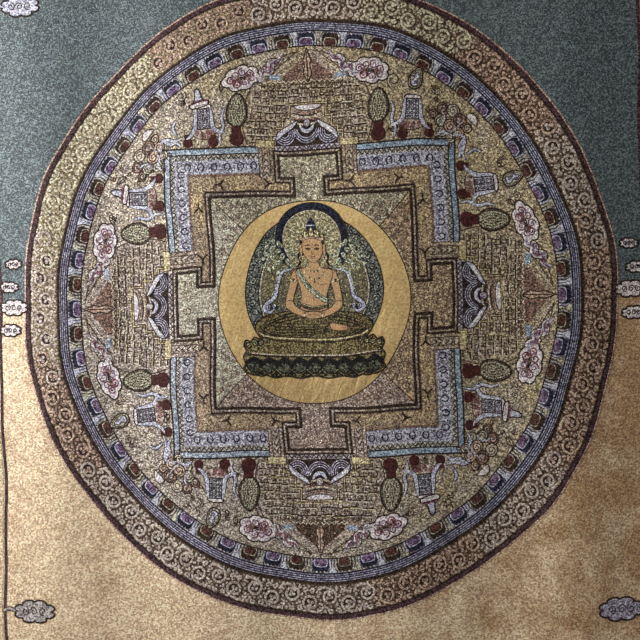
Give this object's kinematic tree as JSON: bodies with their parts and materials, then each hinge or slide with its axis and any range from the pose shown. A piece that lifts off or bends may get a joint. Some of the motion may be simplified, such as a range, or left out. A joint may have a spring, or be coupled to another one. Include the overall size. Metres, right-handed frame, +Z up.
{
  "type": "thangka scroll painting",
  "caption": "Hanging picture cloth: metallic brocade panel woven with a square-gated mandala inside ringed bands, narrow turned hem, soft vertical folds.",
  "frame": {"origin": "middle of the straight top edge of the cloth, on its front face", "axes": "+Z up along the cloth's height, +X across it to the viewer's right, -Y out of the picture side towards the viewer"},
  "size_m": [0.68, 0.016, 0.9],
  "materials": {
    "brocade": "metallic gold and coloured silk brocade, speckled sheen"
  },
  "bodies": {
    "root": {"woven_panel": "brocade"}
  },
  "joints": []
}
